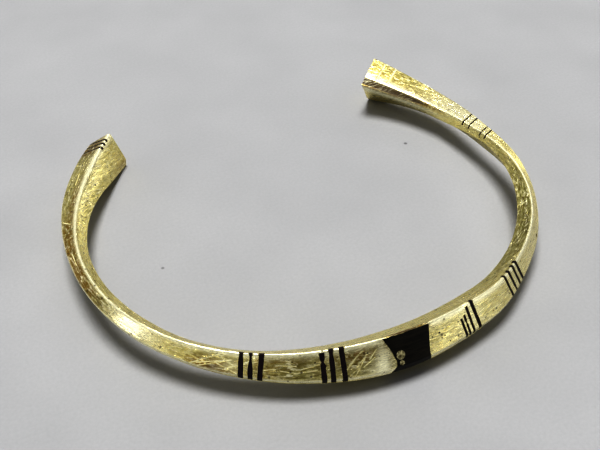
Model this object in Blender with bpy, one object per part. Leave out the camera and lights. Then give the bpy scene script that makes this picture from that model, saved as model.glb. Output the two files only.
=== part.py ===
"""Open cuff bangle: a tapered, twisted square brass bar bent round the wrist.

A black block is let into the outer face at the front and held by two brass pins, and black
strips fill the saw cuts across the outer face. Lengths below are in millimetres and angles in
degrees; the scene itself is in metres, +Z up, with the block facing -Y.

An angle round the wrist is 0 at the front and grows towards +X. A section of the bar hangs from
its top ridge: the outer face runs outwards and down from the ridge, the inner face inwards and
down, and a bottom edge and an inner edge close it.
"""
import math

import bmesh
import bpy
from mathutils import Matrix, Vector

MM = 0.001

# --- driving dimensions -------------------------------------------------------------------
HALF_OPENING = 136     # the bar stops this far round, on each side
RING_STEP = 2          # between two lofted sections
TANGENT_STEP = 0.05
RIDGE_RADIUS = 30.97   # of the top ridge, on average
LOBE = 0.99            # the ridge is this much nearer at the front, further at the shoulders
RIDGE_DIP = 1.06       # the ridge sinks this much along the slim back of each arm
DIP_START = 65
DIP_SKEW = 1.5         # above 1, the dip is deepest towards the end
SHOULDER_BUMP = 0.33   # the right shoulder stands out a little
SHOULDER_PLACE = 29
SHOULDER_SPREAD = 9
ARM_LEAN = 0.27        # the left arm stands out and the right one leans in by this
LEAN_START = 75
LEAN_FULL = 110
END_FLARE = 0.25       # both ends turn out by this
FLARE_START = 100
REST_HEIGHT = 6.05     # ridge above the table: the lowest edges are worn flat at this level

# Sections, one column per place from the front round to an end.
PLACES = (0, 24, 46, 70, 92, 114, HALF_OPENING)
LEFT = {
    "outer_width": (4.5, 3.8, 2.65, 1.9, 1.95, 3.25, 4.6),
    "outer_slope": (56, 61, 63, 41, 17, 20, 35),
    "inner_width": (3.0, 3.1, 2.4, 1.55, 1.7, 2.95, 6.3),
    "inner_slope": (36, 42, 44, 34, 42, 51, 75),
    "foot_out": (0.1, -0.4, -0.5, -0.2, 0.3, 0.5, 0.6),
    "foot_depth": (6.45, 5.4, 4.4, 3.2, 2.9, 4.0, 6.45),
}
RIGHT = {
    "outer_width": (4.5, 4.2, 3.6, 2.2, 1.75, 4.2, 5.0),
    "outer_slope": (56, 63, 67, 45, -8, 0, -10),
    "inner_width": (3.0, 3.2, 2.5, 1.8, 1.1, 2.4, 5.7),
    "inner_slope": (36, 35, 38, 27, 45, 100, 107),
    "foot_out": (0.1, -0.4, -0.4, 0.2, 0.6, 2.1, 3.0),
    "foot_depth": (6.45, 5.4, 4.4, 3.0, 2.9, 3.4, 6.45),
}
END_SKEW = {"left": 15, "right": 4}           # the end cuts aren't quite square
SKEW_START = 122
CREASE_BULGE = {"left": 0.42, "right": 2.1}   # the inner face gains a second facet at each end
CREASE_PLACE = {"left": 0.82, "right": 0.0}   # share of the inner face above the crease, at the end
CREASE_START = 108
CREASE_START_PLACE = 0.4
CREASE_GROWTH = 1.3    # power of the bulge's growth towards the end
EDGE_EASE = 0.10       # width taken off each side of the ridge and of the other sharp edges
CREASE_EASE = 0.03
LOWER_BEVEL = 0.12     # share of the outer face that its lower bevel takes
MOST_EASE = 0.3        # share of a side that easing may take

# Inlay: outline on the outer face as (along the bar, down the face) from INLAY_ANGLE.
INLAY_ANGLE = 2
INLAY_DEPTH = 2.0
INLAY_LIP = 0.22       # brass left above it
INLAY_OUTLINE = (
    (-3.15, INLAY_LIP), (-2.60, 1.30), (-2.00, 3.10), (-2.05, 3.70), (-2.90, 4.60), (-3.40, 7.00),
    (3.20, 7.00), (2.60, 4.70), (2.38, 3.45), (2.60, 2.25), (2.92, INLAY_LIP),
)
INLAY_GAP = 0.03
PIN_SINK = 0.8         # how far the pins reach into the brass behind the block
PIN_GAP = 0.02
PINS = {               # angle, down the face, radius
    "pin_upper": (-0.55, 2.60, 0.55),
    "pin_lower": (-0.55, 3.55, 0.30),
}
DIMPLE_RADIUS = 0.22   # the punch mark in the upper pin
DIMPLE_DEPTH = 0.22
ROUND_SIDES = 32

# Saw cuts across the outer face: name, angle, slant of the lower end towards +X, width.
CUT_DEPTH = 0.5
CUT_GAP = 0.02
CUT_OVERRUN = 0.6      # the saw runs this far past both edges of the face
CUTS = (
    ("line_a1", -34.8, 0, 0.62), ("line_a2", -32.8, -1, 0.60), ("line_a3", -30.7, -4, 0.62),
    ("line_b1", -17.75, 2, 0.62), ("line_b2", -15.8, 1, 0.62), ("line_b3", -13.4, 2, 0.62),
    ("line_c1", 16.3, 8, 0.34), ("line_c2", 17.35, 7, 0.34), ("line_c3", 18.6, 7, 0.36),
    ("line_c4", 20.4, 9, 0.50),
    ("line_d1", 32.4, 14, 0.40), ("line_d2", 34.4, 14, 0.44), ("line_d3", 36.5, 14, 0.44),
    ("line_d4", 38.3, 16, 0.48),
    ("line_e1", 91.5, 16, 0.24), ("line_e2", 93.4, 12, 0.24), ("line_e3", 98.0, 9, 0.24),
    ("line_e4", 100.4, 7, 0.24),
    ("line_f1", -130.3, 0, 0.36), ("line_f2", -132.2, -4, 0.36), ("line_f3", -134.0, -8, 0.36),
)
SCORES = (("score_1", 129.3, 7, 0.30), ("score_2", 132.8, 4, 0.30))
SCORE_DEPTH = 0.15

CUTTER_TOP = 1.0       # cutters stand this far out of the face
TABLE_HALF = 60        # half the side of the block that wears the lowest edges flat
TABLE_DEPTH = 10
SHARP_ABOVE = 15       # edges that turn more than this are shaded sharp


# --- the bar's geometry -------------------------------------------------------------------
def share(away, start, full=HALF_OPENING):
    """How far away lies from start to full, from 0 to 1."""
    return min(max((away - start) / (full - start), 0.0), 1.0)


def smooth(t):
    return t * t * (3 - 2 * t)


def between(values, angle):
    """A smooth curve through one column per place, level at the front."""
    xs = PLACES
    slopes = [0.0]
    for i in range(1, len(xs) - 1):
        before, after = xs[i] - xs[i - 1], xs[i + 1] - xs[i]
        rise_before = (values[i] - values[i - 1]) / before
        rise_after = (values[i + 1] - values[i]) / after
        slopes.append((rise_before * after + rise_after * before) / (before + after))
    slopes.append((values[-1] - values[-2]) / (xs[-1] - xs[-2]))
    i = max(j for j in range(len(xs) - 1) if xs[j] <= angle or j == 0)
    span = xs[i + 1] - xs[i]
    t = (angle - xs[i]) / span
    return (
        (2 * t**3 - 3 * t**2 + 1) * values[i]
        + (t**3 - 2 * t**2 + t) * span * slopes[i]
        + (3 * t**2 - 2 * t**3) * values[i + 1]
        + (t**3 - t**2) * span * slopes[i + 1]
    )


def ridge_point(angle):
    away = abs(angle)
    radius = RIDGE_RADIUS - LOBE * math.cos(math.radians(3 * angle))
    radius += SHOULDER_BUMP * math.exp(-(((angle - SHOULDER_PLACE) / SHOULDER_SPREAD) ** 2))
    radius -= math.copysign(ARM_LEAN * smooth(share(away, LEAN_START, LEAN_FULL)), angle)
    radius += END_FLARE * share(away, FLARE_START) ** 2
    sunk = RIDGE_DIP * math.sin(math.pi * share(away, DIP_START) ** DIP_SKEW)
    turn = math.radians(angle)
    return Vector((radius * math.sin(turn), -radius * math.cos(turn), -sunk))


class Section:
    """The bar's section at an angle: its ridge, directions and corners, in millimetres."""

    def __init__(self, angle):
        side = "left" if angle < 0 else "right"
        table = LEFT if angle < 0 else RIGHT
        away = abs(angle)
        self.ridge = ridge_point(angle)
        ahead = ridge_point(angle + TANGENT_STEP) - ridge_point(angle - TANGENT_STEP)
        self.along = Vector((ahead.x, ahead.y, 0)).normalized()
        self.out = self.along.cross(Vector((0, 0, 1)))
        size = {name: between(column, away) for name, column in table.items()}
        self.width = size["outer_width"]
        skew = END_SKEW[side] * smooth(share(away, SKEW_START))
        self.shear = self.along * math.tan(math.radians(skew))

        outer, inner = math.radians(size["outer_slope"]), math.radians(size["inner_slope"])
        self.up_face = Vector((0, 0, math.sin(outer))) - self.out * math.cos(outer)
        self.face_normal = self.along.cross(self.up_face)
        edge_out, edge_down = self.width * math.cos(outer), self.width * math.sin(outer)
        in_reach = size["inner_width"] * math.cos(inner)
        in_drop = size["inner_width"] * math.sin(inner)
        end = share(away, CREASE_START)
        place = CREASE_START_PLACE * (1 - end) + CREASE_PLACE[side] * end
        bulge = CREASE_BULGE[side] * end**CREASE_GROWTH
        crease = (-in_reach * place - bulge * math.sin(inner),
                  in_drop * place - bulge * math.cos(inner))
        # Corners as (outwards, down) from the ridge, from the ridge round by the outside.
        foot = (size["foot_out"], size["foot_depth"])
        corners = ((0, 0), (edge_out, edge_down), foot, (-in_reach, in_drop), crease)
        self.corners = [Vector(corner) for corner in corners]

    def point(self, out, down):
        return self.ridge + self.out * out + self.shear * out - Vector((0, 0, down))

    def outline(self):
        """The corners with their sharp edges eased, and the outer face's lower bevel."""
        eases = (EDGE_EASE, LOWER_BEVEL * self.width, EDGE_EASE, EDGE_EASE, CREASE_EASE)
        points = []
        for i, (corner, ease) in enumerate(zip(self.corners, eases)):
            for other in (self.corners[i - 1], self.corners[(i + 1) % len(self.corners)]):
                side = other - corner
                cut = min(ease, MOST_EASE * side.length)
                points.append(self.point(*(corner + side.normalized() * cut)))
        return points


def angles():
    count = 2 * HALF_OPENING // RING_STEP
    return [-HALF_OPENING + i * RING_STEP for i in range(count + 1)]


def centre():
    """Middle of the bar's plan, and the level it rests on."""
    points = [p for angle in angles() for p in Section(angle).outline()]
    xs, ys = [p.x for p in points], [p.y for p in points]
    return Vector(((min(xs) + max(xs)) / 2, (min(ys) + max(ys)) / 2, -REST_HEIGHT))


# --- making objects -----------------------------------------------------------------------
def fresh_scene():
    for obj in list(bpy.data.objects):
        bpy.data.objects.remove(obj, do_unlink=True)
    parts = bpy.data.collections.new("bangle")
    tools = bpy.data.collections.new("cutters")
    for collection in (parts, tools):
        bpy.context.scene.collection.children.link(collection)
    return parts, tools


def material(name, colour, metallic, roughness):
    made = bpy.data.materials.new(name)
    made.use_nodes = True
    shader = made.node_tree.nodes["Principled BSDF"]
    shader.inputs["Base Color"].default_value = (*colour, 1)
    shader.inputs["Metallic"].default_value = metallic
    shader.inputs["Roughness"].default_value = roughness
    return made


def add(name, mesh_maker, collection, frame, look=None, rounded=False):
    """An object on the frame. One with no look is a cutter."""
    bm = bmesh.new()
    mesh_maker(bm)
    bmesh.ops.recalc_face_normals(bm, faces=bm.faces)
    mesh = bpy.data.meshes.new(name)
    bm.to_mesh(mesh)
    bm.free()
    if rounded:
        mesh.shade_smooth()
        mesh.set_sharp_from_angle(angle=math.radians(SHARP_ABOVE))
    obj = bpy.data.objects.new(name, mesh)
    collection.objects.link(obj)
    obj.parent = frame
    if look:
        mesh.materials.append(look)
    else:
        obj.hide_render = True
        obj.display_type = "WIRE"
    return obj


def bar_mesh(bm):
    rings = []
    for angle in angles():
        rings.append([bm.verts.new(p * MM) for p in Section(angle).outline()])
    count = len(rings[0])
    for first, second in zip(rings, rings[1:]):
        for i in range(count):
            j = (i + 1) % count
            bm.faces.new((first[i], first[j], second[j], second[i]))
    bm.faces.new(rings[0])
    bm.faces.new(reversed(rings[-1]))


def face_matrix(angle, down, slant=0):
    """Frame on the outer face, that far below the ridge: X along the bar, Y up the face, Z out."""
    here = Section(angle)
    basis = Matrix((here.along, here.up_face, here.face_normal)).transposed().to_4x4()
    spot = here.ridge - here.up_face * down
    return Matrix.Translation(spot * MM) @ basis @ Matrix.Rotation(math.radians(slant), 4, "Z")


def box_mesh(low, high):
    def make(bm):
        bmesh.ops.create_cube(bm, size=1)
        size, mid = Vector(high) - Vector(low), (Vector(high) + Vector(low)) / 2
        for vert in bm.verts:
            vert.co = Vector(c * s + m for c, s, m in zip(vert.co, size, mid)) * MM

    return make


def prism_mesh(outline, low, high):
    """A prism on an outline of points along the bar and down the face."""
    def make(bm):
        floor = bm.faces.new([bm.verts.new((x * MM, -y * MM, low * MM)) for x, y in outline])
        grown = bmesh.ops.extrude_face_region(bm, geom=[floor])["geom"]
        tops = [v for v in grown if isinstance(v, bmesh.types.BMVert)]
        bmesh.ops.translate(bm, verts=tops, vec=(0, 0, (high - low) * MM))

    return make


def rod_mesh(radius, low, high):
    def make(bm):
        middle = Matrix.Translation((0, 0, (high + low) / 2 * MM))
        bmesh.ops.create_cone(
            bm, cap_ends=True, segments=ROUND_SIDES, radius1=radius * MM, radius2=radius * MM,
            depth=(high - low) * MM, matrix=middle,
        )

    return make


def inset(outline, gap):
    """The outline moved in by gap, each corner along its bisector."""
    points = [Vector(p) for p in outline]
    moved = []
    for i, here in enumerate(points):
        before = (here - points[i - 1]).normalized()
        after = (points[(i + 1) % len(points)] - here).normalized()
        inward = Vector((before.y, -before.x))    # the block lies on this side of its outline
        middle = (inward + Vector((after.y, -after.x))).normalized()
        moved.append(here + middle * (gap / middle.dot(inward)))
    return moved


def boolean(obj, operation, tool):
    cut = obj.modifiers.new(operation.lower(), "BOOLEAN")
    cut.operation = operation
    cut.solver = "EXACT"
    if isinstance(tool, bpy.types.Collection):
        cut.operand_type = "COLLECTION"
        cut.collection = tool
    else:
        cut.object = tool


def add_bar(parts, tools, frame):
    """The bar, and a blank of it that shapes the flush faces of everything let into it."""
    brass = material("brass", (0.78, 0.62, 0.24), 1, 0.3)
    worn_away = box_mesh((-TABLE_HALF, -TABLE_HALF, -REST_HEIGHT - TABLE_DEPTH),
                         (TABLE_HALF, TABLE_HALF, -REST_HEIGHT))
    table = add("table_cut", worn_away, tools, frame)
    blank = add("bar_blank", bar_mesh, tools, frame)
    body = add("cuff_body", bar_mesh, parts, frame, brass, rounded=True)
    boolean(blank, "DIFFERENCE", table)
    boolean(body, "DIFFERENCE", table)
    return body, blank


def add_inlay(parts, cuts, frame, blank):
    ebony = material("ebony", (0.012, 0.011, 0.010), 0, 0.4)
    spot = face_matrix(INLAY_ANGLE, 0)
    pocket = add("inlay_pocket", prism_mesh(INLAY_OUTLINE, -INLAY_DEPTH, CUTTER_TOP), cuts, frame)
    pocket.matrix_local = spot
    shape = prism_mesh(inset(INLAY_OUTLINE, INLAY_GAP), INLAY_GAP - INLAY_DEPTH, CUTTER_TOP)
    inlay = add("inlay_block", shape, parts, frame, ebony)
    inlay.matrix_local = spot
    boolean(inlay, "INTERSECT", blank)
    return inlay


def add_pins(parts, cuts, tools, frame, blank, inlay):
    """Two pins through the block and into the brass behind it, the upper one punched."""
    pin_brass = material("pin_brass", (0.70, 0.58, 0.30), 1, 0.35)
    bottom = -INLAY_DEPTH - PIN_SINK
    for name, (angle, down, radius) in PINS.items():
        spot = face_matrix(angle, down)
        bore = rod_mesh(radius + PIN_GAP, bottom - PIN_GAP, CUTTER_TOP)
        hole = add(name + "_hole", bore, cuts, frame)
        hole.matrix_local = spot
        boolean(inlay, "DIFFERENCE", hole)
        pin = add(name, rod_mesh(radius, bottom, CUTTER_TOP), parts, frame, pin_brass, rounded=True)
        pin.matrix_local = spot
        boolean(pin, "INTERSECT", blank)
    punch = add("pin_dimple", rod_mesh(DIMPLE_RADIUS, -DIMPLE_DEPTH, CUTTER_TOP), tools, frame)
    punch.matrix_local = face_matrix(*PINS["pin_upper"][:2])
    boolean(parts.objects["pin_upper"], "DIFFERENCE", punch)


def add_saw_cut(cuts, frame, name, angle, slant, width, depth):
    """A cutter across the outer face. Returns its place and its reach each way along the cut."""
    face_width = Section(angle).width
    reach = face_width / 2 + CUT_OVERRUN
    cut = box_mesh((-width / 2, -reach, -depth), (width / 2, reach, CUTTER_TOP))
    slot = add(name + "_slot", cut, cuts, frame)
    spot = face_matrix(angle, face_width / 2, slant)
    slot.matrix_local = spot
    return spot, reach


def add_lines(parts, cuts, frame, blank):
    """The saw cuts, the strips that fill them, and the two scores that stay open."""
    filler = material("filler", (0.02, 0.018, 0.016), 0, 0.6)
    for name, angle, slant, width in CUTS:
        spot, reach = add_saw_cut(cuts, frame, name, angle, slant, width, CUT_DEPTH)
        thin = width / 2 - CUT_GAP
        fill = box_mesh((-thin, -reach, CUT_GAP - CUT_DEPTH), (thin, reach, CUTTER_TOP))
        strip = add(name, fill, parts, frame, filler)
        strip.matrix_local = spot
        boolean(strip, "INTERSECT", blank)
    for name, angle, slant, width in SCORES:
        add_saw_cut(cuts, frame, name, angle, slant, width, SCORE_DEPTH)


def build():
    parts, tools = fresh_scene()
    cuts = bpy.data.collections.new("body_cuts")
    tools.children.link(cuts)
    frame = bpy.data.objects.new("ring_frame", None)
    parts.objects.link(frame)
    frame.location = -centre() * MM
    body, blank = add_bar(parts, tools, frame)
    inlay = add_inlay(parts, cuts, frame, blank)
    add_pins(parts, cuts, tools, frame, blank, inlay)
    add_lines(parts, cuts, frame, blank)
    boolean(body, "DIFFERENCE", cuts)


build()
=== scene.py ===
"""Looks of the open cuff bangle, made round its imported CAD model.

Lengths are in millimetres and angles in degrees until a mesh is made. An angle round the wrist is
0 at the front and grows towards +X. A place round the bar's section is a number q: 0 at the top
ridge, 1 at the outer edge, 2 at the foot, 3 at the inner edge, 4 at the crease, 5 back at the ridge.
"""

import math

import bmesh
import bpy
from mathutils import Matrix, Vector, noise


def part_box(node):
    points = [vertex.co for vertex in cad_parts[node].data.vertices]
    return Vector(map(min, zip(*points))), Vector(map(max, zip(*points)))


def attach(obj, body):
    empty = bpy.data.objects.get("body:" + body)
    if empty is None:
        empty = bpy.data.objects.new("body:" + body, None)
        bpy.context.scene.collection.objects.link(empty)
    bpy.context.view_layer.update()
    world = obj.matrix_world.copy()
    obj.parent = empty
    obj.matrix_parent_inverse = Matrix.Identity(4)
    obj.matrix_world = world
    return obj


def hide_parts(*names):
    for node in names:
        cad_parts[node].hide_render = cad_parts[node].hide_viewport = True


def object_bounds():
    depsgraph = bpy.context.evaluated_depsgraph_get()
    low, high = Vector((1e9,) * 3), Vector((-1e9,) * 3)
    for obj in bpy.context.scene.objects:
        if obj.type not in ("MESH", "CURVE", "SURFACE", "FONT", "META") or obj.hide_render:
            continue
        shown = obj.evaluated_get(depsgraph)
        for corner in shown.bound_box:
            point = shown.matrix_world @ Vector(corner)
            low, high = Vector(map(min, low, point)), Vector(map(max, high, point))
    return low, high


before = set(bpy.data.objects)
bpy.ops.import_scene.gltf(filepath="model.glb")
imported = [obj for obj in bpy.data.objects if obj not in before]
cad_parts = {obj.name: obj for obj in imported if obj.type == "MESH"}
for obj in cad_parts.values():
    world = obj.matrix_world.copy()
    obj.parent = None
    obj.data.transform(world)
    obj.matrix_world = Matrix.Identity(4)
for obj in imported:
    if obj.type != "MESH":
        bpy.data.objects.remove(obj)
cad_low, cad_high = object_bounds()

MM = 0.001

# --- the bar and its cuts, as the CAD model has them ------------------------------------------
HALF_OPENING = 136
RIDGE_RADIUS = 30.97
LOBE = 0.99
RIDGE_DIP = 1.06
DIP_START = 65
DIP_SKEW = 1.5
SHOULDER_BUMP = 0.33
SHOULDER_PLACE = 29
SHOULDER_SPREAD = 9
ARM_LEAN = 0.27
LEAN_START = 75
LEAN_FULL = 110
END_FLARE = 0.25
FLARE_START = 100
PLACES = (0, 24, 46, 70, 92, 114, HALF_OPENING)
LEFT = {
    "outer_width": (4.5, 3.8, 2.65, 1.9, 1.95, 3.25, 4.6),
    "outer_slope": (56, 61, 63, 41, 17, 20, 35),
    "inner_width": (3.0, 3.1, 2.4, 1.55, 1.7, 2.95, 6.3),
    "inner_slope": (36, 42, 44, 34, 42, 51, 75),
    "foot_out": (0.1, -0.4, -0.5, -0.2, 0.3, 0.5, 0.6),
    "foot_depth": (6.45, 5.4, 4.4, 3.2, 2.9, 4.0, 6.45),
}
RIGHT = {
    "outer_width": (4.5, 4.2, 3.6, 2.2, 1.75, 4.2, 5.0),
    "outer_slope": (56, 63, 67, 45, -8, 0, -10),
    "inner_width": (3.0, 3.2, 2.5, 1.8, 1.1, 2.4, 5.7),
    "inner_slope": (36, 35, 38, 27, 45, 100, 107),
    "foot_out": (0.1, -0.4, -0.4, 0.2, 0.6, 2.1, 3.0),
    "foot_depth": (6.45, 5.4, 4.4, 3.0, 2.9, 3.4, 6.45),
}
END_SKEW = {"left": 15, "right": 4}
SKEW_START = 122
CREASE_BULGE = {"left": 0.42, "right": 2.1}
CREASE_PLACE = {"left": 0.82, "right": 0.0}
CREASE_START = 108
CREASE_START_PLACE = 0.4
CREASE_GROWTH = 1.3
LOWER_BEVEL = 0.12
CAD_EASE = 0.10
CAD_CREASE_EASE = 0.3 * CAD_EASE
INLAY_ANGLE = 2
INLAY_DEPTH = 2.0
INLAY_OUTLINE = (                      # its top corners are 0.1 mm higher than in the CAD
    (-3.15, 0.12), (-2.60, 1.30), (-2.00, 3.10), (-2.05, 3.70), (-2.90, 4.60), (-3.40, 7.00),
    (3.20, 7.00), (2.60, 4.70), (2.38, 3.45), (2.60, 2.25), (2.92, 0.12),
)
PIN_DEPTH = 2.8
PIN_UPPER = (-0.55, 2.60, 0.55)        # angle, down the face, radius
PIN_LOWER = (-0.55, 3.55, 0.30)
CUT_DEPTH = 0.5
CUTS = (                               # name, angle, slant, width
    ("line_a1", -34.8, 0, 0.62), ("line_a2", -32.8, -1, 0.60), ("line_a3", -30.7, -4, 0.62),
    ("line_b1", -17.75, 2, 0.62), ("line_b2", -15.8, 1, 0.62), ("line_b3", -13.4, 2, 0.62),
    ("line_c1", 16.3, 8, 0.34), ("line_c2", 17.35, 7, 0.34), ("line_c3", 18.6, 7, 0.36),
    ("line_c4", 20.4, 9, 0.50),
    ("line_d1", 32.4, 14, 0.40), ("line_d2", 34.4, 14, 0.44), ("line_d3", 36.5, 14, 0.44),
    ("line_d4", 38.3, 16, 0.48),
    ("line_e1", 91.5, 16, 0.24), ("line_e2", 93.4, 12, 0.24), ("line_e3", 98.0, 9, 0.24),
    ("line_e4", 100.4, 7, 0.24),
    ("line_f1", -130.3, 0, 0.36), ("line_f2", -132.2, -4, 0.36), ("line_f3", -134.0, -8, 0.36),
)
SCORES = ((129.3, 7, 0.30), (132.8, 4, 0.30))   # angle, slant, width

# --- what the worn surface adds ------------------------------------------------------------
RING_STEP = 0.3
PATCH_STEP = 0.15
ARC_STEPS = 5                          # round each eased corner
SIDE_STEPS = (20, 3, 13, 17, 8, 9)     # along each side, from the ridge round by the outside
RIDGE_EASE = 0.22
END_RIDGE_EASE = 0.58                  # the left arm's ridge is worn rounder towards its end
END_EASE_START, END_EASE_FULL = 10, 120
SOFT_EASE = 0.12
EASE_LIMIT = 0.3                       # of the side the rounding eats into
WAVES = ((5.5, 0.045), (1.9, 0.016), (0.7, 0.005))   # wavelength and height of the unevenness
WAVE_SHIFT = 7.3                       # keeps the waves of each length apart
GAP = 0.015
CUTTER_TOP = 0.8
CUT_REACH = 0.5                        # how far a saw cut runs past the face
CUTTER_STEP = 0.15
OUTLINE_STEP = 0.25
WALL_WOBBLE = 0.035
INLAY_WOBBLE = 0.05
SCORE_DEPTH, SCORE_REACH, SCORE_WOBBLE = 0.10, 0.3, 0.06
THINNED = {                            # where a saw cut narrows: share down, spread, how much
    "line_a2": (0.26, 0.16, 0.60), "line_a1": (0.20, 0.10, 0.25), "line_b1": (0.26, 0.05, 0.60),
    "line_b2": (0.22, 0.08, 0.25), "line_c2": (0.30, 0.06, 0.50), "line_d2": (0.72, 0.05, 0.40),
}
STARTS_LOW = {"line_c1": 0.34, "line_c2": 0.28, "line_c3": 0.08, "line_b1": 0.07}
SCRATCHES = (                          # angle, share down, length, turn, width
    (-42.0, 0.45, 5.2, 118, 0.13), (-40.5, 0.60, 4.4, 110, 0.11), (-38.5, 0.35, 3.6, 62, 0.11),
    (-36.0, 0.55, 4.8, 114, 0.13), (-37.5, 0.72, 3.0, 68, 0.09), (-33.5, 0.40, 2.6, 105, 0.09),
    (-44.5, 0.55, 2.8, 76, 0.09), (-10.5, 0.35, 2.4, 128, 0.11), (-9.2, 0.45, 2.1, 132, 0.09),
    (-7.8, 0.55, 1.8, 120, 0.09), (-22.0, 0.62, 3.4, 96, 0.09), (-26.0, 0.40, 3.0, 86, 0.09),
    (24.0, 0.50, 2.6, 110, 0.09), (28.0, 0.40, 2.2, 68, 0.09), (126.0, 0.35, 1.9, 150, 0.13),
    (131.0, 0.55, 2.6, 100, 0.13), (134.2, 0.40, 1.6, 84, 0.13), (-124.2, 0.62, 1.7, 158, 0.22),
    (-12.0, 0.55, 1.8, 130, 0.10), (-6.6, 0.35, 1.6, 136, 0.10), (-11.0, 0.72, 1.6, 122, 0.09),
    (-9.8, 0.62, 2.6, 144, 0.10), (-25.5, 0.60, 2.2, 80, 0.09), (-20.0, 0.45, 2.6, 100, 0.09),
    (-40.0, 0.50, 6.0, 104, 0.12), (-29.0, 0.55, 1.8, 96, 0.08), (12.5, 0.35, 1.6, 110, 0.08),
    (-100.0, 0.55, 1.4, 145, 0.14), (-118.0, 0.45, 2.8, 94, 0.11), (-86.0, 0.50, 2.6, 92, 0.09),
)
SCRATCH_DEPTH, SCRATCH_WOBBLE = 0.045, 0.03
PITS = (                               # angle, share down, radius
    (9.7, 0.41, 0.12), (11.0, 0.55, 0.09), (10.1, 0.58, 0.08), (12.0, 0.77, 0.10),
    (52.5, 0.74, 0.22), (-24.2, 0.30, 0.09), (25.5, 0.70, 0.08), (-27.4, 0.55, 0.07),
)
PIT_DEPTH, PIT_WOBBLE, PIT_SIDES = 0.10, 0.04, 12
STRIP_SINK = 0.03
BLOCK_SINK = 0.02
PIN_PROUD = 0.02
STRIP_PATCH, END_PATCH, BLOCK_PATCH = 5, 6, 10   # degrees of bar that shape what is let in
END_CUTS = 130                         # cuts past this angle reach the end of the bar
PIN_SIDES = 28
PIN_HOLE = 1.02                        # the hole over the pin
PUNCH_DEPTH = 0.12
SCORE_SEED, SCRATCH_SEED = 50, 80


def share(away, start, full=HALF_OPENING):
    return min(max((away - start) / (full - start), 0.0), 1.0)


def smooth(t):
    return t * t * (3 - 2 * t)


def between(values, angle):
    """A smooth curve through one column per place, level at the front."""
    xs = PLACES
    slopes = [0.0]
    for i in range(1, len(xs) - 1):
        before, after = xs[i] - xs[i - 1], xs[i + 1] - xs[i]
        rise_before = (values[i] - values[i - 1]) / before
        rise_after = (values[i + 1] - values[i]) / after
        slopes.append((rise_before * after + rise_after * before) / (before + after))
    slopes.append((values[-1] - values[-2]) / (xs[-1] - xs[-2]))
    i = max(j for j in range(len(xs) - 1) if xs[j] <= angle or j == 0)
    span = xs[i + 1] - xs[i]
    t = (angle - xs[i]) / span
    return (
        (2 * t**3 - 3 * t**2 + 1) * values[i]
        + (t**3 - 2 * t**2 + t) * span * slopes[i]
        + (3 * t**2 - 2 * t**3) * values[i + 1]
        + (t**3 - t**2) * span * slopes[i + 1]
    )


def ridge_point(angle):
    away = abs(angle)
    radius = RIDGE_RADIUS - LOBE * math.cos(math.radians(3 * angle))
    radius += SHOULDER_BUMP * math.exp(-(((angle - SHOULDER_PLACE) / SHOULDER_SPREAD) ** 2))
    radius -= math.copysign(ARM_LEAN * smooth(share(away, LEAN_START, LEAN_FULL)), angle)
    radius += END_FLARE * share(away, FLARE_START) ** 2
    sunk = RIDGE_DIP * math.sin(math.pi * share(away, DIP_START) ** DIP_SKEW)
    turn = math.radians(angle)
    return Vector((radius * math.sin(turn), -radius * math.cos(turn), -sunk))


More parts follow.
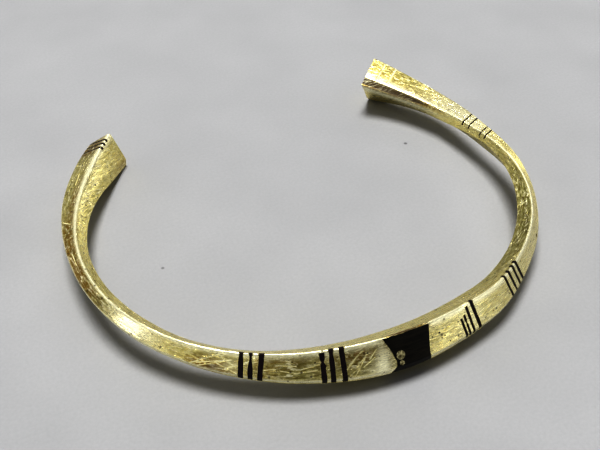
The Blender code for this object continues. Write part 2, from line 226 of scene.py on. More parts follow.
class Section:
    """The bar's section at an angle: its ridge, directions and corners."""

    def __init__(self, angle):
        side = "left" if angle < 0 else "right"
        table = LEFT if angle < 0 else RIGHT
        away = abs(angle)
        self.angle = angle
        self.ridge = ridge_point(angle)
        ahead = ridge_point(angle + 0.05) - ridge_point(angle - 0.05)
        self.along = Vector((ahead.x, ahead.y, 0)).normalized()
        self.out = self.along.cross(Vector((0, 0, 1)))
        size = {name: between(column, away) for name, column in table.items()}
        self.width = size["outer_width"]
        skew = END_SKEW[side] * smooth(share(away, SKEW_START))
        self.shear = self.along * math.tan(math.radians(skew))
        outer, inner = math.radians(size["outer_slope"]), math.radians(size["inner_slope"])
        self.up_face = Vector((0, 0, math.sin(outer))) - self.out * math.cos(outer)
        self.face_normal = self.along.cross(self.up_face)
        in_reach = size["inner_width"] * math.cos(inner)
        in_drop = size["inner_width"] * math.sin(inner)
        end = share(away, CREASE_START)
        place = CREASE_START_PLACE * (1 - end) + CREASE_PLACE[side] * end
        bulge = CREASE_BULGE[side] * end**CREASE_GROWTH
        ridge, foot = Vector((0, 0)), Vector((size["foot_out"], size["foot_depth"]))
        edge = Vector((self.width * math.cos(outer), self.width * math.sin(outer)))
        inside = Vector((-in_reach, in_drop))
        crease = Vector((-in_reach * place - bulge * math.sin(inner),
                         in_drop * place - bulge * math.cos(inner)))
        bevel = LOWER_BEVEL * self.width
        edge_top = edge + (ridge - edge).normalized() * bevel
        edge_low = edge + (foot - edge).normalized() * bevel
        self.corners = (ridge, edge_top, edge_low, foot, inside, crease)
        self.marks = (0, 1 - LOWER_BEVEL, 1 + bevel / (foot - edge).length, 2, 3, 4)

    def place(self, flat):
        return self.ridge + (self.out + self.shear) * flat.x - Vector((0, 0, flat.y))

    def outline(self, eases, arc_steps, side_steps):
        """Points round the section, with the way out of it and q at each."""
        flats, marks = [], []
        count = len(self.corners)
        for i, (here, ease) in enumerate(zip(self.corners, eases)):
            before, after = self.corners[i - 1], self.corners[(i + 1) % count]
            mark = self.marks[i]
            mark_before = self.marks[i - 1] if i else self.marks[-1] - 5
            mark_after = self.marks[i + 1] if i + 1 < count else 5
            cut_in = min(ease, EASE_LIMIT * (before - here).length)
            cut_out = min(ease, EASE_LIMIT * (after - here).length)
            first = here + (before - here).normalized() * cut_in
            last = here + (after - here).normalized() * cut_out
            mark_in = mark + (mark_before - mark) * cut_in / max((before - here).length, 1e-6)
            mark_out = mark + (mark_after - mark) * cut_out / max((after - here).length, 1e-6)
            for k in range(arc_steps + 1):
                t = k / arc_steps
                flats.append(first * (1 - t) ** 2 + here * 2 * t * (1 - t) + last * t**2)
                marks.append(mark_in * (1 - t) + mark_out * t)
            nxt_ease = min(eases[(i + 1) % count], EASE_LIMIT * (after - here).length)
            stop = after + (here - after).normalized() * nxt_ease
            mark_stop = mark_after + (mark - mark_after) * nxt_ease / max((after - here).length, 1e-6)
            for k in range(1, side_steps[i]):
                t = k / side_steps[i]
                flats.append(last.lerp(stop, t))
                marks.append(mark_out * (1 - t) + mark_stop * t)
        return flats, marks


def worn_eases(angle):
    """How far each corner of the section is rounded."""
    worn = share(-angle, END_EASE_START, END_EASE_FULL)
    return (RIDGE_EASE + (END_RIDGE_EASE - RIDGE_EASE) * worn,) + (SOFT_EASE,) * 5


def find_origin():
    """The ring's centre in the frame: the loft's far corner has to meet the CAD bar's."""
    far = Vector((-1e9, -1e9, -1e9))
    for step in range(-HALF_OPENING // 2, HALF_OPENING // 2 + 1):
        section = Section(2 * step)
        eases = (CAD_EASE, 0, 0, CAD_EASE, CAD_EASE, CAD_CREASE_EASE)
        for flat in section.outline(eases, 1, (1,) * 6)[0]:
            far = Vector(map(max, far, section.place(flat)))
    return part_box("cuff_body")[1] / MM - far


ORIGIN = find_origin()
TABLE_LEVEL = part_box("cuff_body")[0].z / MM


def unevenness(point):
    """How far the worn surface stands in or out at a point."""
    height = 0.0
    for i, (wavelength, size) in enumerate(WAVES):
        height += size * noise.noise(point / wavelength + Vector((0, 0, WAVE_SHIFT * i)))
    return height


def bar_rings(first, last, step, sink=0.0):
    """Rings of points from angle first to angle last, in the frame, and q at each point."""
    rings, marks = [], []
    count = max(2, round((last - first) / step))
    for k in range(count + 1):
        section = Section(first + (last - first) * k / count)
        flats, ring_marks = section.outline(worn_eases(section.angle), ARC_STEPS, SIDE_STEPS)
        ring = []
        for i, flat in enumerate(flats):
            chord = flats[(i + 1) % len(flats)] - flats[i - 1]
            normal = Vector((chord.y, -chord.x)).normalized()
            spot = section.place(flat) + ORIGIN
            off = unevenness(spot) - sink
            moved = spot + (section.out * normal.x - Vector((0, 0, normal.y))) * off
            moved.z = max(moved.z, TABLE_LEVEL)
            ring.append(moved)
        rings.append(ring)
        marks.append(ring_marks)
    return rings, marks


def loft(bm, rings):
    """A closed loft through rings. Returns its vertices, ring by ring."""
    made = [[bm.verts.new(p * MM) for p in ring] for ring in rings]
    count = len(made[0])
    for first, second in zip(made, made[1:]):
        for i in range(count):
            j = (i + 1) % count
            bm.faces.new((first[i], first[j], second[j], second[i]))
    bm.faces.new(made[0][::-1])
    bm.faces.new(made[-1])
    return made


def make_object(name, bm):
    bmesh.ops.recalc_face_normals(bm, faces=bm.faces)
    mesh = bpy.data.meshes.new(name)
    bm.to_mesh(mesh)
    bm.free()
    obj = bpy.data.objects.new(name, mesh)
    bpy.context.scene.collection.objects.link(obj)
    return obj


def boolean(obj, operation, tool):
    """Applies a Boolean at once."""
    cut = obj.modifiers.new("cut", "BOOLEAN")
    cut.operation = operation
    cut.solver = "MANIFOLD"
    cut.object = tool
    graph = bpy.context.evaluated_depsgraph_get()
    made = bpy.data.meshes.new_from_object(obj.evaluated_get(graph), depsgraph=graph)
    obj.modifiers.clear()
    old = obj.data
    made.name = old.name
    obj.data = made
    bpy.data.meshes.remove(old)


def discard(*objects):
    for obj in objects:
        bpy.data.objects.remove(obj, do_unlink=True)


def face_matrix(angle, down, slant=0.0):
    """Frame on the outer face: X along the bar, Y up the face, Z out."""
    here = Section(angle)
    basis = Matrix((here.along, here.up_face, here.face_normal)).transposed().to_4x4()
    spot = here.ridge - here.up_face * down + ORIGIN
    return Matrix.Translation(spot) @ basis @ Matrix.Rotation(math.radians(slant), 4, "Z")


def wobbly_bar(matrix, low, high, widths, depth, top, seed, wobble=WALL_WOBBLE):
    """A saw-cut shape from y=low to y=high whose side walls wander."""
    steps = max(6, int((high - low) / CUTTER_STEP))
    bm = bmesh.new()
    rings = []
    for k in range(steps + 1):
        t = k / steps
        y = low + (high - low) * t
        left, right = widths(1 - t)
        left += wobble * noise.noise(Vector((y * 1.3, seed, 0.5)))
        right += wobble * noise.noise(Vector((y * 1.3, seed, 9.5)))
        ring = [Vector((-left, y, -depth)), Vector((right, y, -depth)),
                Vector((right, y, top)), Vector((-left, y, top))]
        rings.append([matrix @ p for p in ring])
    loft(bm, rings)
    return make_object("tool", bm)


def prism(matrix, outline, depth, top, wobble=0.0):
    """A prism on an outline of points along the bar and down the face, its edges cut finely."""
    points = []
    count = len(outline)
    for i in range(count):
        here, after = Vector(outline[i]), Vector(outline[(i + 1) % count])
        pieces = max(1, int((after - here).length / OUTLINE_STEP))
        for k in range(pieces):
            p = here.lerp(after, k / pieces)
            off = Vector((noise.noise(Vector((p.x, p.y, 3.1)) * 1.7),
                          noise.noise(Vector((p.x, p.y, 8.4)) * 1.7)))
            points.append(p + off * wobble)
    bm = bmesh.new()
    rings = [[matrix @ Vector((p.x, -p.y, z)) for p in points] for z in (-depth, top)]
    loft(bm, rings)
    return make_object("tool", bm)


def grown(outline, gap):
    """The outline moved out by gap."""
    points = [Vector(p) for p in outline]
    moved = []
    for i, here in enumerate(points):
        before = (here - points[i - 1]).normalized()
        after = (points[(i + 1) % len(points)] - here).normalized()
        outward = Vector((-before.y, before.x))
        middle = (outward + Vector((-after.y, after.x))).normalized()
        moved.append(here + middle * (gap / middle.dot(outward)))
    return moved


def patch(first, last, sink):
    """A short length of the bar with no cuts, which shapes what is let into it."""
    bm = bmesh.new()
    loft(bm, bar_rings(first, last, PATCH_STEP, sink)[0])
    return make_object("patch", bm)


# --- where the brass is dull, browned or rubbed bright, and where shade and highlights are painted ---
# Each zone: angle, its spread, q, its spread, amount. Pale is a whitish film of fine scratches, and in places
# painted highlights and a painted reflection of the floor.
# Tarnish: dull olive patina, and painted shade on faces turned from the light
TARNISH_AND_SHADE_ZONES = (
    (-131, 6, 0.5, 0.9, 0.55), (-112, 14, 0.5, 0.9, 0.45), (-85, 16, 0.5, 0.9, 0.50),
    (-40, 8, 0.5, 0.7, 0.55), (-24, 8, 0.5, 0.8, 0.80), (-9, 6, 0.35, 0.5, 0.75),
    (63, 16, 3.8, 0.9, 0.70), (40, 12, 3.5, 0.8, 0.45), (130, 10, 0.5, 0.8, 1.15),
    (135, 5, 4.5, 0.5, 0.90), (-72, 6, 0.6, 0.5, 0.40), (-112, 12, 3.4, 0.5, 0.50),
    (56, 12, 4.5, 0.6, 0.80), (20, 14, 0.5, 0.6, 0.20), (-120, 14, 4.3, 0.5, 0.20), (36, 3, 0.5, 0.6, 0.40),
)
# Brown: brownish patina, and a painted dark reflection on the inner face of the right end
BROWN_AND_SHADE_ZONES = (
    (-108, 10, 0.22, 0.22, 0.80), (-80, 9, 0.65, 0.5, 1.15), (-93, 8, 0.6, 0.45, 0.80),
    (-41, 5, 0.8, 0.4, 0.70), (-10, 5, 0.3, 0.3, 0.70), (120, 8, 4.5, 0.5, 2.00),
    (-134, 4, 3.7, 0.5, 0.45), (-132, 3, 0.5, 0.5, 0.80), (-30, 4, 0.5, 0.6, 0.30),
    (-97, 6, 4.7, 0.3, 0.30), (127, 8, 4.95, 0.12, 0.90), (131, 7, 0.5, 0.55, 0.15), (-24, 5, 0.2, 0.3, 0.35),
    (0, 3, 0.0, 0.16, 2.0), (3, 3.5, 0.0, 0.16, 2.0), (129, 7, 4.5, 0.42, 2.0), (136, 6, 4.5, 0.42, 1.9),
    (-132.2, 2.6, 0.5, 0.42, 1.2), (-41, 3.5, 0.75, 0.25, 0.7),
)
# Polish: rubbed brass, and painted highlights where faces mirror the lights
POLISH_AND_HIGHLIGHT_ZONES = (
    (-61, 7, 0.5, 0.7, 1.0), (103, 11, 0.4, 0.8, 0.8), (-4.5, 2.2, 0.6, 0.6, 0.9),
    (20, 16, 0.6, 0.6, 0.4), (-112, 16, 4.5, 0.6, 0.4), (48, 8, 0.5, 0.6, 0.4),
)
# Pale: fine scratches, and painted highlights, with a painted reflection of the floor on the right end's
# inner faces
PALE_AND_HIGHLIGHT_ZONES = (
    (-4.6, 1.6, 0.6, 0.5, 0.9), (-6.5, 2.5, 0.85, 0.25, 0.6), (19, 3, 0.5, 0.6, 0.5),
    (36, 3.5, 0.5, 0.6, 0.4), (-60, 7, 0.4, 0.5, 0.5), (97, 6, 0.5, 0.8, 0.5),
    (-37, 3, 0.55, 0.35, 0.35), (110, 8, 0.3, 0.5, 0.3), (118, 9, 3.6, 0.4, 0.8),
    (129, 10, 3.75, 0.20, 1.2),
)
RIDGE_RUB_AND_HIGHLIGHT = 0.16                      # half width in q of the rubbed ridge, also a painted highlight line
EDGE_RUB_AND_HIGHLIGHT = 0.08                       # and of the rubbed lower edge, also a painted highlight line
# Where the lower edge line lies in q, and how strong its painted highlight is
EDGE_PLACE, EDGE_BRIGHTNESS = 0.97, 0.8
ZONE_LIMIT = 2.0
BLOCK_MIDDLE, BLOCK_HALF = 1.9, 6.2     # the ridge is dark beside the black block


def zone_amount(zones, angle, q):
    total = 0.0
    for zone_angle, spread, zone_q, q_spread, amount in zones:
        q_off = min(abs(q - zone_q), abs(q - 5 - zone_q), abs(q + 5 - zone_q))
        total += amount * math.exp(-((angle - zone_angle) / spread) ** 2 - (q_off / q_spread) ** 2)
    return min(total, ZONE_LIMIT)


def bar_piece():
    """The whole bar with its unevenness, its wear, painted shade and painted highlights as attributes, and
    its UVs in mm.
    """
    rings, marks = bar_rings(-HALF_OPENING, HALF_OPENING, RING_STEP)
    bm = bmesh.new()
    layers = {name: bm.verts.layers.float.new(name) for name in ("tarnish_and_shade", "brown_and_shade", "polish_and_highlight", "pale")}
    made = loft(bm, rings)
    count = len(rings[0])
    angles = [-HALF_OPENING + 2 * HALF_OPENING * k / (len(rings) - 1) for k in range(len(rings))]
    for angle, ring, ring_marks in zip(angles, made, marks):
        for vert, q in zip(ring, ring_marks):
            # The rubbed ridge and lower edge are also painted highlight lines, left off the ridge beside the
            # block
            near_ridge = min(abs(q), abs(q - 5)) / RIDGE_RUB_AND_HIGHLIGHT
            near_edge = abs(q - EDGE_PLACE) / EDGE_RUB_AND_HIGHLIGHT
            over_block = math.exp(-(((angle - BLOCK_MIDDLE) / BLOCK_HALF) ** 6))
            rub_and_highlight = max(math.exp(-near_ridge**2) * (1 - over_block),
                        EDGE_BRIGHTNESS * math.exp(-near_edge**2))
            vert[layers["tarnish_and_shade"]] = zone_amount(TARNISH_AND_SHADE_ZONES, angle, q) * (1 - rub_and_highlight)
            vert[layers["brown_and_shade"]] = zone_amount(BROWN_AND_SHADE_ZONES, angle, q) * (1 - rub_and_highlight)
            vert[layers["polish_and_highlight"]] = max(zone_amount(POLISH_AND_HIGHLIGHT_ZONES, angle, q), rub_and_highlight)
            vert[layers["pale"]] = max(zone_amount(PALE_AND_HIGHLIGHT_ZONES, angle, q), rub_and_highlight)
    uv = bm.loops.layers.uv.new("bar")
    around = []
    for ring in rings:
        run = [0.0]
        for i in range(count):
            run.append(run[-1] + (ring[(i + 1) % count] - ring[i]).length)
        around.append(run)
    bm.faces.ensure_lookup_table()
    index = 0
    for k in range(len(rings) - 1):
        for i in range(count):
            corners = ((k, i), (k, i + 1), (k + 1, i + 1), (k + 1, i))
            for loop, (ring_index, point_index) in zip(bm.faces[index].loops, corners):
                loop[uv].uv = (math.radians(angles[ring_index]) * RIDGE_RADIUS,
                               around[ring_index][point_index])
            index += 1
    return make_object("cuff_bar", bm)


# --- materials ---------------------------------------------------------------------------
class Look:
    """A Principled material and short ways to add nodes to it."""

    def __init__(self, name, **settings):
        self.material = bpy.data.materials.new(name)
        self.material.use_nodes = True
        self.tree = self.material.node_tree
        self.shader = self.tree.nodes["Principled BSDF"]
        for socket, value in settings.items():
            self.shader.inputs[socket.replace("_", " ")].default_value = value
        self.object = self.tree.nodes.new("ShaderNodeTexCoord").outputs["Object"]

    def join(self, source, target):
        self.tree.links.new(source, target)

    def to_shader(self, source, socket):
        self.join(source, self.shader.inputs[socket])

    def node(self, kind, inputs=None, **properties):
        made = self.tree.nodes.new(kind)
        for key, value in properties.items():
            setattr(made, key, value)
        for key, value in (inputs or {}).items():
            if isinstance(value, bpy.types.NodeSocket):
                self.join(value, made.inputs[key])
            else:
                made.inputs[key].default_value = value
        return made

    def attribute(self, name):
        return self.node("ShaderNodeAttribute", attribute_name=name).outputs["Fac"]

    def scaled(self, source, scale, turn=0.0):
        inputs = {"Vector": source, "Scale": scale, "Rotation": (0, 0, math.radians(turn))}
        return self.node("ShaderNodeMapping", inputs).outputs["Vector"]

    def noise(self, vector, scale, detail, roughness, distortion=0.0):
        inputs = {"Vector": vector, "Scale": scale, "Detail": detail, "Roughness": roughness,
                  "Distortion": distortion}
        return self.node("ShaderNodeTexNoise", inputs).outputs["Fac"]

    def ramp(self, source, low, high, start=0.0, end=1.0):
        inputs = {"Value": source, "From Min": low, "From Max": high, "To Min": start, "To Max": end}
        return self.node("ShaderNodeMapRange", inputs).outputs["Result"]

    def math(self, operation, first, second=0.0, clamp=False):
        made = self.node("ShaderNodeMath", {0: first, 1: second}, operation=operation)
        made.use_clamp = clamp
        return made.outputs[0]

    def blend(self, factor, first, second):
        made = self.node("ShaderNodeMix", data_type="RGBA")
        self.join(factor, made.inputs[0])
        for socket, value in ((made.inputs[6], first), (made.inputs[7], second)):
            if isinstance(value, bpy.types.NodeSocket):
                self.join(value, socket)
            else:
                socket.default_value = (*value, 1)
        return made.outputs[2]

    def bump(self, height, distance, strength, normal=None):
        inputs = {"Height": height, "Distance": distance, "Strength": strength}
        if normal is not None:
            inputs["Normal"] = normal
        return self.node("ShaderNodeBump", inputs).outputs["Normal"]


PER_MM = (1000, 1000, 1000)
CLEAN_BRASS = (0.90, 0.83, 0.40)
WARM_BRASS = (0.84, 0.71, 0.27)
# dull patina, also painted shade on faces turned from the light
OLIVE_BRASS = (0.39, 0.36, 0.13)
BROWN_BRASS = (0.33, 0.21, 0.04)
# dark in the pits and on the ridge beside the block, and a painted dark reflection on the right end's inner
# face
DARK_BROWN = (0.075, 0.045, 0.012)
STAIN_BRASS = (0.24, 0.19, 0.05)
# pale flecks and scratches, also painted highlights
PALE_BRASS = (0.98, 0.95, 0.68)
# rubbed brass, also painted highlight
RUBBED_AND_HIGHLIGHT_BRASS = (0.98, 0.95, 0.72)
SCRATCHED_BRASS = (0.95, 0.86, 0.58)
PITTED_BRASS = (0.10, 0.08, 0.03)
EBONY_DARK, EBONY_LIGHT = (0.004, 0.004, 0.003), (0.020, 0.016, 0.010)
FILLER_DARK, FILLER_LIGHT = (0.004, 0.0025, 0.003), (0.035, 0.018, 0.020)
PIN_BRIGHT, PIN_STAIN = (0.80, 0.74, 0.44), (0.12, 0.10, 0.035)
FLOOR_LOW, FLOOR_HIGH = (0.392, 0.392, 0.396), (0.420, 0.420, 0.424)
FLOOR_GRAIN, FLOOR_SPECK = (0.30, 0.30, 0.303), (0.09, 0.09, 0.09)


def brass_look():
    """Worn brass: the bar's painted wear, painted shade and painted highlights broken up by streaks and
    flecks that run along it.
    """
    look = Look("worn_brass", Metallic=1.0)
    uv = look.node("ShaderNodeUVMap", uv_map="bar").outputs["UV"]
    place = look.scaled(look.object, PER_MM)
    # These attributes carry patina and rubbing, and painted shade and painted highlights
    tarnish_and_shade, brown_and_shade, polish_and_highlight, pale = (look.attribute(n) for n in ("tarnish_and_shade", "brown_and_shade", "polish_and_highlight", "pale"))
    blotch = look.noise(place, 0.45, 4, 0.6)
    mottle = look.noise(place, 2.2, 4, 0.65)
    streak = look.noise(look.scaled(uv, (0.55, 5.5, 1)), 1.0, 4, 0.6, 0.3)
    filing = look.noise(look.scaled(uv, (7.0, 0.7, 1), 14), 1.0, 3, 0.6)
    fine = look.noise(look.scaled(uv, (1.2, 16, 1), -6), 1.0, 2, 0.5)
    scratch = look.noise(look.scaled(uv, (0.22, 9, 1), 21), 1.0, 2, 0.4, 0.6)
    scratch_line = look.ramp(scratch, 0.66, 0.70)
    other = look.noise(look.scaled(uv, (0.3, 10, 1), -38), 1.0, 2, 0.4, 0.5)
    other_line = look.ramp(other, 0.68, 0.71)
    pits = look.node("ShaderNodeTexVoronoi", {"Vector": place, "Scale": 0.9}).outputs["Distance"]
    pit = look.ramp(pits, 0.10, 0.16, 1.0, 0.0)

    spread = look.math("ADD", look.math("MULTIPLY", look.ramp(streak, 0.38, 0.62), 0.60),
                       look.math("MULTIPLY", look.ramp(mottle, 0.36, 0.64), 0.45))
    # Dull olive: patina, and painted shade on faces turned from the light
    dull = look.math("MULTIPLY", look.math("MULTIPLY", tarnish_and_shade, 2.0), spread)
    dull = look.math("ADD", dull, look.ramp(blotch, 0.45, 0.8, 0.0, 0.30), True)
    fleck = look.ramp(look.noise(look.scaled(uv, (0.9, 3.0, 1), 9), 1.0, 5, 0.7), 0.52, 0.58)
    cluster = look.noise(look.scaled(uv, (0.35, 1.1, 1), -10), 1.0, 3, 0.6)
    cluster = look.ramp(cluster, 0.40, 0.58, 0.2, 1.0)
    fleck = look.math("MULTIPLY", fleck, cluster)
    stain = look.ramp(look.noise(look.scaled(uv, (0.8, 2.6, 1), -14), 1.0, 5, 0.7), 0.50, 0.58)
    worn = look.math("ADD", look.math("MULTIPLY", tarnish_and_shade, 0.8), 0.26, True)
    bright = look.math("MULTIPLY", fleck, worn)
    # Brown patina, and a painted dark reflection on the right end's inner face
    brown_patina_and_shade = look.math("MULTIPLY", look.math("MULTIPLY", brown_and_shade, 1.9),
                      look.ramp(mottle, 0.38, 0.58, 0.15, 1.0), True)
    colour = look.blend(look.ramp(mottle, 0.35, 0.65), CLEAN_BRASS, WARM_BRASS)
    # Rubbed brass, partly a painted highlight
    colour = look.blend(look.math("MULTIPLY", polish_and_highlight, 0.85, True), colour, RUBBED_AND_HIGHLIGHT_BRASS)
    colour = look.blend(dull, colour, OLIVE_BRASS)
    colour = look.blend(brown_patina_and_shade, colour, BROWN_BRASS)
    # Very dark: dirt in the pits, and a painted dark reflection on the right end's inner face
    dark = look.ramp(brown_and_shade, 0.9, 1.6)
    colour = look.blend(dark, colour, DARK_BROWN)
    stained = look.math("MULTIPLY", stain, look.math("MULTIPLY", worn, 0.9))
    colour = look.blend(stained, colour, STAIN_BRASS)
    colour = look.blend(look.math("MULTIPLY", bright, 0.85), colour, PALE_BRASS)
    # Pale scratches, and painted highlights on the ridge, the lower edge and the pale zones
    colour = look.blend(look.math("MULTIPLY", pale, 0.85, True), colour, PALE_BRASS)
    # The non-metal share also carries the painted highlights and the painted dark reflection
    non_metal_share = look.math("ADD", look.math("MULTIPLY", bright, 0.45), look.math("MULTIPLY", pale, 0.60))
    non_metal_share = look.math("ADD", non_metal_share, look.math("MULTIPLY", dark, 0.9))
    metal = look.math("SUBTRACT", 1.0, non_metal_share, True)
    look.to_shader(metal, "Metallic")
    lines = look.math("MAXIMUM", scratch_line, other_line)
    colour = look.blend(look.math("MULTIPLY", lines, 0.7), colour, SCRATCHED_BRASS)
    colour = look.blend(look.math("MULTIPLY", pit, 0.75), colour, PITTED_BRASS)
    look.to_shader(colour, "Base Color")

    rough = look.math("ADD", look.ramp(streak, 0.3, 0.7, 0.20, 0.36), look.math("MULTIPLY", dull, 0.14))
    rough = look.math("SUBTRACT", rough, look.math("MULTIPLY", polish_and_highlight, 0.08), True)
    rough = look.math("ADD", rough, look.math("MULTIPLY", dark, 0.35), True)
    look.to_shader(rough, "Roughness")

    height = look.math("ADD", look.math("MULTIPLY", streak, 0.5), look.math("MULTIPLY", filing, 0.35))
    height = look.math("ADD", height, look.math("MULTIPLY", fine, 0.25))
    height = look.math("SUBTRACT", height, look.math("MULTIPLY", lines, 0.35))
    height = look.math("SUBTRACT", height, look.math("MULTIPLY", pit, 0.6))
    height = look.math("ADD", height, look.math("MULTIPLY", fleck, 0.4))
    unpolished = look.math("SUBTRACT", 1.0, look.math("MULTIPLY", polish_and_highlight, 0.6), True)
    height = look.math("MULTIPLY", height, unpolished)
    coarse = look.bump(mottle, 0.00008, 0.6)
    look.to_shader(look.bump(height, 0.00004, 0.9, coarse), "Normal")
    return look.material


def ebony_look():
    look = Look("ebony", Metallic=0.0, Specular_IOR_Level=0.12)
    grain = look.noise(look.scaled(look.object, (500, 4000, 4000)), 1.0, 4, 0.6)
    pores = look.noise(look.scaled(look.object, (1500, 9000, 9000)), 1.0, 2, 0.5)
    colour = look.blend(look.ramp(grain, 0.35, 0.75), EBONY_DARK, EBONY_LIGHT)
    look.to_shader(colour, "Base Color")
    look.to_shader(look.ramp(grain, 0.3, 0.7, 0.30, 0.50), "Roughness")
    look.to_shader(look.bump(look.math("ADD", grain, look.math("MULTIPLY", pores, 0.5)), 0.00003, 0.5),
                   "Normal")
    return look.material


def filler_look():
    look = Look("black_filler", Metallic=0.0, Specular_IOR_Level=0.15)
    grit = look.noise(look.scaled(look.object, PER_MM), 7.0, 4, 0.65)
    colour = look.blend(look.ramp(grit, 0.4, 0.75), FILLER_DARK, FILLER_LIGHT)
    look.to_shader(colour, "Base Color")
    look.to_shader(look.ramp(grit, 0.3, 0.7, 0.45, 0.75), "Roughness")
    look.to_shader(look.bump(grit, 0.00008, 0.7), "Normal")
    return look.material


def pin_look():
    look = Look("pin_brass", Metallic=0.7)
    stain = look.noise(look.scaled(look.object, PER_MM), 3.2, 4, 0.7)
    colour = look.blend(look.ramp(stain, 0.38, 0.62), PIN_BRIGHT, PIN_STAIN)
    look.to_shader(colour, "Base Color")
    look.to_shader(look.ramp(stain, 0.3, 0.7, 0.28, 0.55), "Roughness")
    look.to_shader(look.bump(stain, 0.00006, 0.6), "Normal")
    return look.material


def floor_look():
    look = Look("pale_floor", Metallic=0.0, Specular_IOR_Level=0.2, Roughness=0.85)
    cloud = look.noise(look.scaled(look.object, PER_MM), 0.06, 2, 0.5)
    grain = look.noise(look.scaled(look.object, PER_MM), 2.4, 4, 0.7)
    specks = look.node("ShaderNodeTexVoronoi",
                       {"Vector": look.scaled(look.object, PER_MM), "Scale": 0.085}).outputs["Distance"]
    colour = look.blend(look.ramp(cloud, 0.3, 0.7), FLOOR_LOW, FLOOR_HIGH)
    colour = look.blend(look.ramp(grain, 0.35, 0.75, 0.0, 0.30), colour, FLOOR_GRAIN)
    colour = look.blend(look.ramp(specks, 0.022, 0.034, 0.7, 0.0), colour, FLOOR_SPECK)
    look.to_shader(colour, "Base Color")
    look.to_shader(look.bump(grain, 0.00005, 0.35), "Normal")
    return look.material


def finish_piece(obj, material, *nodes, slot, sharp=35):
    """Gives the piece its material and smooth shading, puts it under the root body and hides the CAD nodes it
    stands for.
    """
    mesh = obj.data
    mesh.materials.clear()
    mesh.materials.append(material)
    mesh.polygons.foreach_set("material_index", [0] * len(mesh.polygons))
    mesh.shade_smooth()
    mesh.set_sharp_from_angle(angle=math.radians(sharp))
    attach(obj, "root")
    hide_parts(*nodes)


# --- the pieces --------------------------------------------------------------------------
def saw_width(width, name=""):
    """Half widths either side of a cut, by the share of the way down it."""
    place, spread, amount = THINNED.get(name, (0.0, 1.0, 0.0))

    def halves(s):
        half = width / 2 * (1 - amount * math.exp(-(((s - place) / spread) ** 2)))
        return half, half

    return halves


def painted(tool, name, amount):
    """Gives what the tool cuts one kind of wear."""
    layer = tool.data.attributes.new(name, "FLOAT", "POINT")
    layer.data.foreach_set("value", [amount] * len(tool.data.vertices))


def add_strips(bar, material):
    """Saw cuts in the bar and the black strips in them."""
    for number, (name, angle, slant, width) in enumerate(CUTS):
        section = Section(angle)
        matrix = face_matrix(angle, section.width / 2, slant)
        reach = section.width / 2 + CUT_REACH
        high = section.width * (0.5 - STARTS_LOW[name]) if name in STARTS_LOW else reach
        cutter = wobbly_bar(matrix, -reach, high, saw_width(width, name), CUT_DEPTH, CUTTER_TOP, number)
        boolean(bar, "DIFFERENCE", cutter)
        fill = wobbly_bar(matrix, -reach, high - GAP, saw_width(width - 2 * GAP, name), CUT_DEPTH - GAP,
                          CUTTER_TOP, number)
        if angle < -END_CUTS:
            blank = patch(-HALF_OPENING, angle + END_PATCH, STRIP_SINK)
        else:
            blank = patch(angle - STRIP_PATCH, angle + STRIP_PATCH, STRIP_SINK)
        boolean(fill, "INTERSECT", blank)
        fill.name = name.replace("line", "strip")
        finish_piece(fill, material, name, slot="filler")
        discard(cutter, blank)


def add_inlay(bar, ebony, brass):
    """The black block and the two pins through it."""
    matrix = face_matrix(INLAY_ANGLE, 0)
    pocket = prism(matrix, grown(INLAY_OUTLINE, GAP), INLAY_DEPTH, CUTTER_TOP, INLAY_WOBBLE)
    boolean(bar, "DIFFERENCE", pocket)
    block = prism(matrix, INLAY_OUTLINE, INLAY_DEPTH - GAP, CUTTER_TOP, INLAY_WOBBLE)
    blank = patch(INLAY_ANGLE - BLOCK_PATCH, INLAY_ANGLE + BLOCK_PATCH, BLOCK_SINK)
    boolean(block, "INTERSECT", blank)
    proud = patch(INLAY_ANGLE - BLOCK_PATCH, INLAY_ANGLE + BLOCK_PATCH, -PIN_PROUD)
    for name, (angle, down, radius) in (("pin_upper", PIN_UPPER), ("pin_lower", PIN_LOWER)):
        spot = face_matrix(angle, down)
        ring = [(radius * math.cos(math.tau * k / PIN_SIDES) * (1 + 0.05 * math.sin(3 * k)),
                 radius * math.sin(math.tau * k / PIN_SIDES)) for k in range(PIN_SIDES)]
        hole = prism(spot, [(x * PIN_HOLE, y * PIN_HOLE) for x, y in ring], PIN_DEPTH, CUTTER_TOP)
        boolean(bar, "DIFFERENCE", hole)
        boolean(block, "DIFFERENCE", hole)
        pin = prism(spot, ring, PIN_DEPTH - GAP, CUTTER_TOP)
        boolean(pin, "INTERSECT", proud)
        if name == "pin_upper":
            mark = [(x * 0.34 - 0.10, y * 0.30 + 0.06) for x, y in ring]
            punch = prism(spot, mark, PUNCH_DEPTH, CUTTER_TOP)
            boolean(pin, "DIFFERENCE", punch)
            discard(punch)
        pin.name = name.replace("pin", "brass_pin")
        finish_piece(pin, brass, name, slot="pin_brass")
        discard(hole)
    block.name = "black_block"
    finish_piece(block, ebony, "inlay_block", slot="ebony")
    discard(pocket, blank, proud)


def add_scores(bar):
    """Two bright cuts with nothing in them, near the right end."""
    for number, (angle, slant, width) in enumerate(SCORES):
        section = Section(angle)
        matrix = face_matrix(angle, section.width / 2, slant)
        reach = section.width / 2 + SCORE_REACH
        cutter = wobbly_bar(matrix, -reach, reach, saw_width(width), SCORE_DEPTH, CUTTER_TOP,
                            SCORE_SEED + number, SCORE_WOBBLE)
        painted(cutter, "pale", 1.0)
        boolean(bar, "DIFFERENCE", cutter)
        discard(cutter)


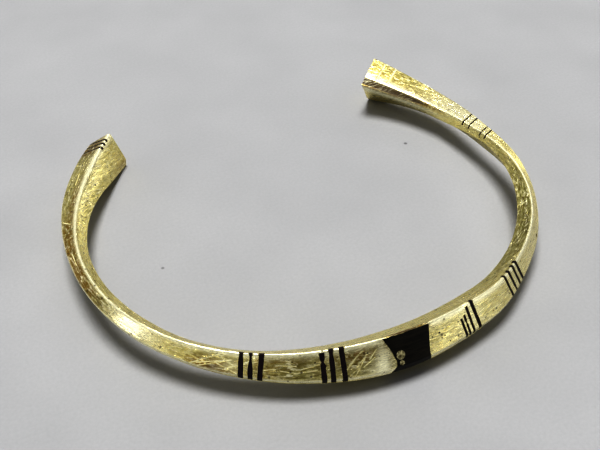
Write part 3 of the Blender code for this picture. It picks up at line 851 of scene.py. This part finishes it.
def add_wear(bar):
    """Fine bright scratches and small dirty pits in the outer face."""
    for number, (angle, down, length, turn, width) in enumerate(SCRATCHES):
        matrix = face_matrix(angle, Section(angle).width * down, turn)
        cutter = wobbly_bar(matrix, -length / 2, length / 2, saw_width(width), SCRATCH_DEPTH, CUTTER_TOP,
                            SCRATCH_SEED + number, SCRATCH_WOBBLE)
        painted(cutter, "pale", 1.0)
        boolean(bar, "DIFFERENCE", cutter)
        discard(cutter)
    for angle, down, radius in PITS:
        matrix = face_matrix(angle, Section(angle).width * down)
        ring = [(radius * math.cos(math.tau * k / PIT_SIDES) * 1.2,
                 radius * math.sin(math.tau * k / PIT_SIDES)) for k in range(PIT_SIDES)]
        cutter = prism(matrix, ring, PIT_DEPTH, CUTTER_TOP, PIT_WOBBLE)
        painted(cutter, "brown_and_shade", ZONE_LIMIT)
        boolean(bar, "DIFFERENCE", cutter)
        discard(cutter)


# --- stage, light and camera ----------------------------------------------------------------
# An azimuth is 0 towards the front, -Y, and 90 towards +X.
FLOOR_HALF = 1.6                       # metres
HORIZON = (0.50, 0.50, 0.47, 1)
ZENITH = (0.012, 0.012, 0.011, 1)
HORIZON_TOP = 0.30                     # height on a unit sphere where the pale band ends
LENS, SENSOR = 52.46, 36
AIM = Vector((-3.14, -4.61, 6.05))     # what the camera looks at, in the frame
CAMERA_AZIMUTH, CAMERA_ELEVATION, CAMERA_DISTANCE = -22.8, 41.457, 115.4
NEAREST = 0.001                        # metres
KEY_LIGHT = (176, 80, 25, 3.05)        # azimuth, elevation, degrees wide, irradiance
SOFTBOXES = (     # name, azimuth, elevation, distance, width and height in metres, radiance
    ("ceiling", 0, 89, 0.60, 0.90, 0.90, 0.40),
    ("back_window", 150, 32, 0.80, 0.52, 0.22, 0.90),
    ("left_back", -147, 24, 0.80, 0.80, 0.34, 0.60),
    ("left_window", -92, 14, 0.60, 0.24, 0.14, 2.6),
    ("left_low", -50, 5, 0.60, 0.48, 0.09, 1.4),
    ("right_wall", 112, 10, 0.60, 0.50, 0.16, 1.7),
    ("front_right", 46, 7, 0.60, 0.34, 0.14, 1.5),
)
GAMMA, EXPOSURE = 0.66, 0.41


def add_floor():
    bm = bmesh.new()
    bmesh.ops.create_grid(bm, x_segments=2, y_segments=2, size=FLOOR_HALF)
    floor = make_object("floor", bm)
    floor.data.materials.append(floor_look())
    floor.location.z = cad_low.z


def toward(azimuth, elevation):
    """Unit vector."""
    a, e = math.radians(azimuth), math.radians(elevation)
    return Vector((math.sin(a) * math.cos(e), -math.cos(a) * math.cos(e), math.sin(e)))


def softbox(name, azimuth, elevation, distance, width, height, radiance):
    """A soft light of that brightness as seen in a mirror, aimed at the bangle."""
    lamp = bpy.data.lights.new(name, "AREA")
    lamp.shape = "RECTANGLE"
    lamp.size, lamp.size_y = width, height
    lamp.energy = radiance * math.pi * width * height
    obj = bpy.data.objects.new(name, lamp)
    bpy.context.scene.collection.objects.link(obj)
    way = toward(azimuth, elevation)
    obj.location = way * distance
    obj.rotation_euler = way.to_track_quat("Z", "Y").to_euler()


def add_key(azimuth, elevation, width, irradiance):
    """The main light, as soft as a source that many degrees wide."""
    lamp = bpy.data.lights.new("key", "SUN")
    lamp.angle = math.radians(width)
    lamp.energy = irradiance
    obj = bpy.data.objects.new("key", lamp)
    bpy.context.scene.collection.objects.link(obj)
    obj.rotation_euler = toward(azimuth, elevation).to_track_quat("Z", "Y").to_euler()


def add_world():
    """A pale band round the horizon and nearly black above it, for the brass to mirror."""
    world = bpy.data.worlds.new("studio")
    world.use_nodes = True
    tree = world.node_tree
    back = tree.nodes["Background"]
    coords = tree.nodes.new("ShaderNodeTexCoord").outputs["Generated"]
    split = tree.nodes.new("ShaderNodeSeparateXYZ")
    ramp = tree.nodes.new("ShaderNodeValToRGB")
    tree.links.new(coords, split.inputs[0])
    tree.links.new(split.outputs["Z"], ramp.inputs[0])
    tree.links.new(ramp.outputs[0], back.inputs["Color"])
    stops = ramp.color_ramp.elements
    stops[0].position, stops[0].color = 0.0, HORIZON
    stops[1].position, stops[1].color = HORIZON_TOP, ZENITH
    bpy.context.scene.world = world


def add_camera():
    lens_data = bpy.data.cameras.new("camera")
    lens_data.lens = LENS
    lens_data.sensor_width = SENSOR
    lens_data.clip_start = NEAREST
    camera = bpy.data.objects.new("camera", lens_data)
    bpy.context.scene.collection.objects.link(camera)
    way = toward(CAMERA_AZIMUTH, CAMERA_ELEVATION)
    camera.location = (AIM + way * CAMERA_DISTANCE) * MM
    camera.rotation_euler = way.to_track_quat("Z", "Y").to_euler()
    bpy.context.scene.camera = camera


brass = brass_look()
bar = bar_piece()
add_inlay(bar, ebony_look(), pin_look())
add_strips(bar, filler_look())
add_scores(bar)
add_wear(bar)
finish_piece(bar, brass, "cuff_body", slot="brass", sharp=40)

add_floor()
add_world()
add_key(*KEY_LIGHT)
for box in SOFTBOXES:
    softbox(*box)
add_camera()
bpy.context.scene.view_settings.view_transform = "Standard"
bpy.context.scene.view_settings.gamma = GAMMA
bpy.context.scene.view_settings.exposure = EXPOSURE
